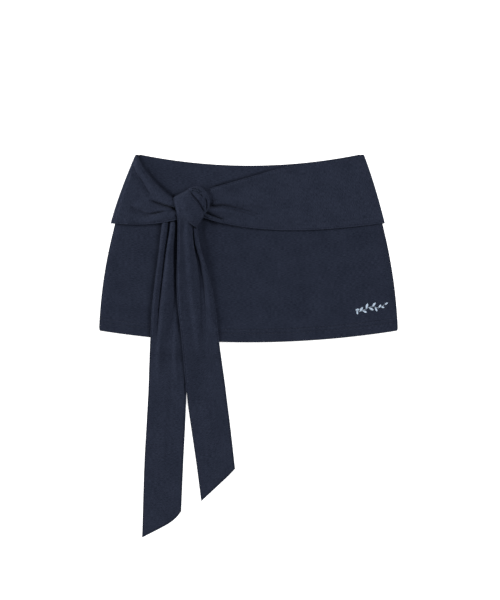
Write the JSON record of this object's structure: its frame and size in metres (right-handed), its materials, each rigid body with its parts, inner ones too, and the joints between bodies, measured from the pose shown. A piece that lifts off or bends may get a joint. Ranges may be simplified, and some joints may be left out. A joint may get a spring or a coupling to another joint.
{
  "type": "mini skirt",
  "caption": "A-line jersey mini skirt laid flat, with a wide sash folded over the waist, tied in a side knot in front, its long slanted tails hanging past the hem.",
  "frame": {"origin": "middle of the rectangle that the garment and its tails cover, on the surface that it lies on", "axes": "+X across the skirt to the right of the picture, +Y up from the hem towards the waist, +Z off the surface, out of the skirt's front"},
  "size_m": [0.478, 0.6126, 0.026],
  "materials": {
    "body_jersey": "matt navy cotton jersey",
    "sash_jersey": "matt navy cotton jersey, fine ribs",
    "embroidery": "pale blue satin-stitch thread"
  },
  "bodies": {
    "root": {"back_panel": "body_jersey", "front_panel": "body_jersey", "sash_back": "sash_jersey", "sash_arm_left": "sash_jersey", "sash_arm_right": "sash_jersey", "tail_left": "sash_jersey", "tail_right": "sash_jersey", "knot_turn": "sash_jersey", "knot_wrap": "sash_jersey"}
  },
  "joints": []
}
